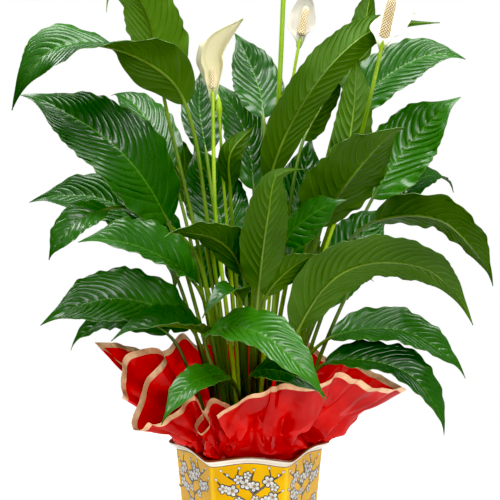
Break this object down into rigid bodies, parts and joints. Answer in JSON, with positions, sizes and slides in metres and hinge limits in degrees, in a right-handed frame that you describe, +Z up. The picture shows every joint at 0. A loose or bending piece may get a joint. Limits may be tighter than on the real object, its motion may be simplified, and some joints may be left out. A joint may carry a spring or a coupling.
{
  "type": "potted peace lily",
  "caption": "Flowering peace lily with arching glossy leaves, in a red film wrap that stands in a six-sided glazed yellow pot.",
  "frame": {"origin": "centre of the pot's underside", "axes": "+Z up, along the pot's axis; -Y towards the front, where a flat side of the pot faces; +X to the front's right"},
  "size_m": [0.8005, 0.6173, 1.1603],
  "materials": {
    "glaze": "gloss yellow glaze with white plum blossoms and grey branches, white rim band, reddish-brown lip and inside",
    "film": "thin translucent red film with a satin gold edge band",
    "plastic": "matte black",
    "soil": "matte dark brown moist crumbs",
    "leaf": "gloss dark green above, matte mid green below, with pleated veins",
    "stalk": "satin lime green",
    "spathe": "satin white, a little translucent, green at the foot",
    "spadix": "matte cream, knobbly"
  },
  "bodies": {
    "root": {"pot": "glaze", "wrap": "film", "growers_pot": "plastic", "soil": "soil", "leaf_arch_top_left": "leaf", "leaf_arch_left": "leaf", "leaf_wide_left": "leaf", "leaf_left_shaded": "leaf", "leaf_left_streaked": "leaf", "leaf_left_drooping": "leaf", "leaf_left_folded": "leaf", "leaf_low_left_broad": "leaf", "leaf_low_left_under": "leaf", "leaf_low_left_front": "leaf", "leaf_small_front": "leaf", "leaf_bright_front": "leaf", "leaf_low_right_front": "leaf", "leaf_low_right": "leaf", "leaf_right_arch": "leaf", "leaf_right_large": "leaf", "leaf_right_high": "leaf", "leaf_right_bright": "leaf", "leaf_centre_broad": "leaf", "leaf_diagonal": "leaf", "leaf_narrow_erect": "leaf", "leaf_high_right": "leaf", "leaf_back_right_tip": "leaf", "leaf_right_inner": "leaf", "leaf_right_small": "leaf", "leaf_erect_front": "leaf", "leaf_across_front": "leaf", "leaf_glossy_cup": "leaf", "leaf_pale_under": "leaf", "leaf_curled_front": "leaf", "leaf_inner_left": "leaf", "leaf_inner_right": "leaf", "leaf_back_centre": "leaf", "leaf_back_mid": "leaf", "leaf_inner_dark": "leaf", "leaf_back_narrow": "leaf", "leaf_back_left": "leaf", "leaf_back_left_low": "leaf", "leaf_back_upper_right": "leaf", "leaf_tall_right": "leaf", "leaf_back_low_left": "leaf", "leaf_back_low_right": "leaf", "leaf_back_lowest": "leaf", "stalk_cream": "stalk", "spathe_cream": "spathe", "spadix_cream": "spadix", "stalk_tall": "stalk", "spathe_tall": "spathe", "spadix_tall": "spadix", "stalk_white": "stalk", "spathe_white": "spathe", "spadix_white": "spadix", "stalk_open": "stalk", "spathe_open": "spathe", "spadix_open": "spadix", "bloom_bud": "stalk"}
  },
  "joints": []
}
